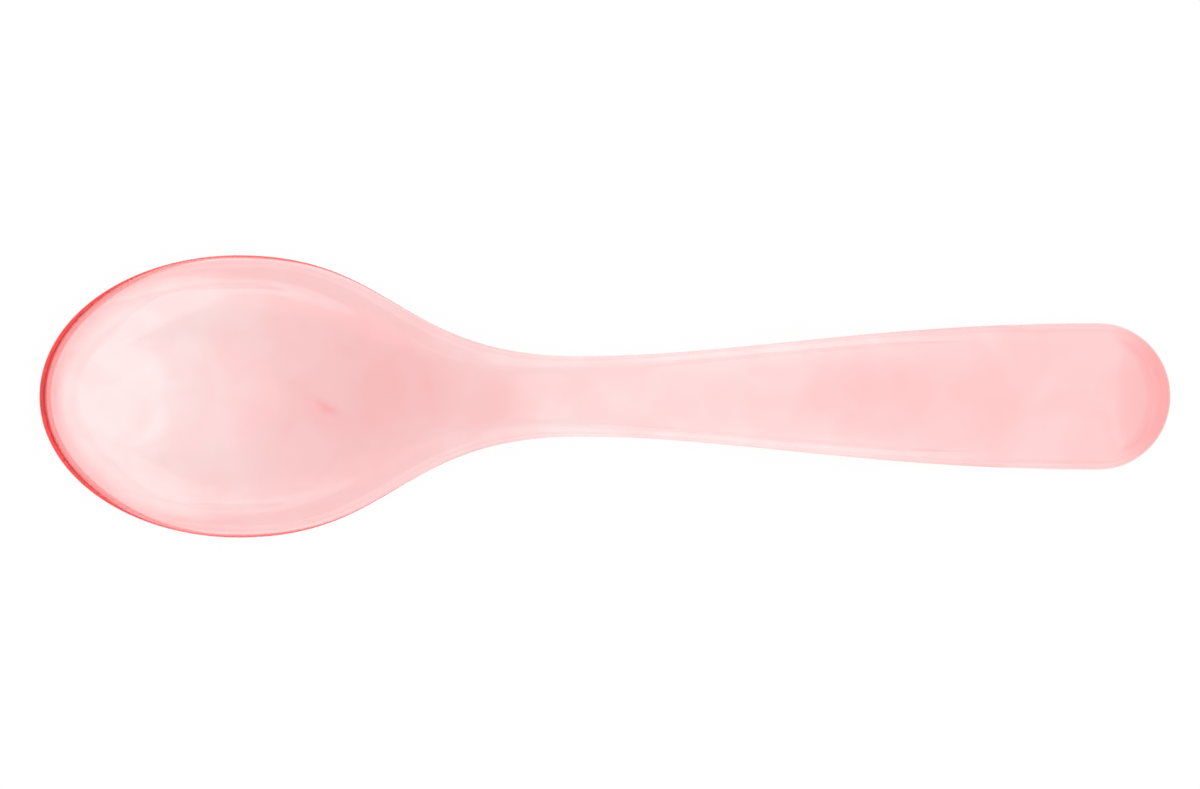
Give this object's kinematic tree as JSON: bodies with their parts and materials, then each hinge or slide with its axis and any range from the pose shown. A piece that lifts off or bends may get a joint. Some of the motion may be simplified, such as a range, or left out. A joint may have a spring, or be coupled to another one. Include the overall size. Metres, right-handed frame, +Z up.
{
  "type": "acrylic spoon",
  "caption": "Translucent pink acrylic spoon with an oval bowl, a beaded rim, a narrow neck and an arched handle that widens to a round end.",
  "frame": {"origin": "half way along the spoon's length and across its width, on the table that it lies on", "axes": "+X along the spoon from the bowl's tip to the handle's end, +Y across it, +Z up from the table"},
  "size_m": [0.15, 0.0374, 0.0111],
  "materials": {
    "acrylic": "moulded acrylic tinted pink all through, clear enough to see through, with a polished surface"
  },
  "bodies": {
    "root": {"bowl": "acrylic", "handle": "acrylic"}
  },
  "joints": []
}
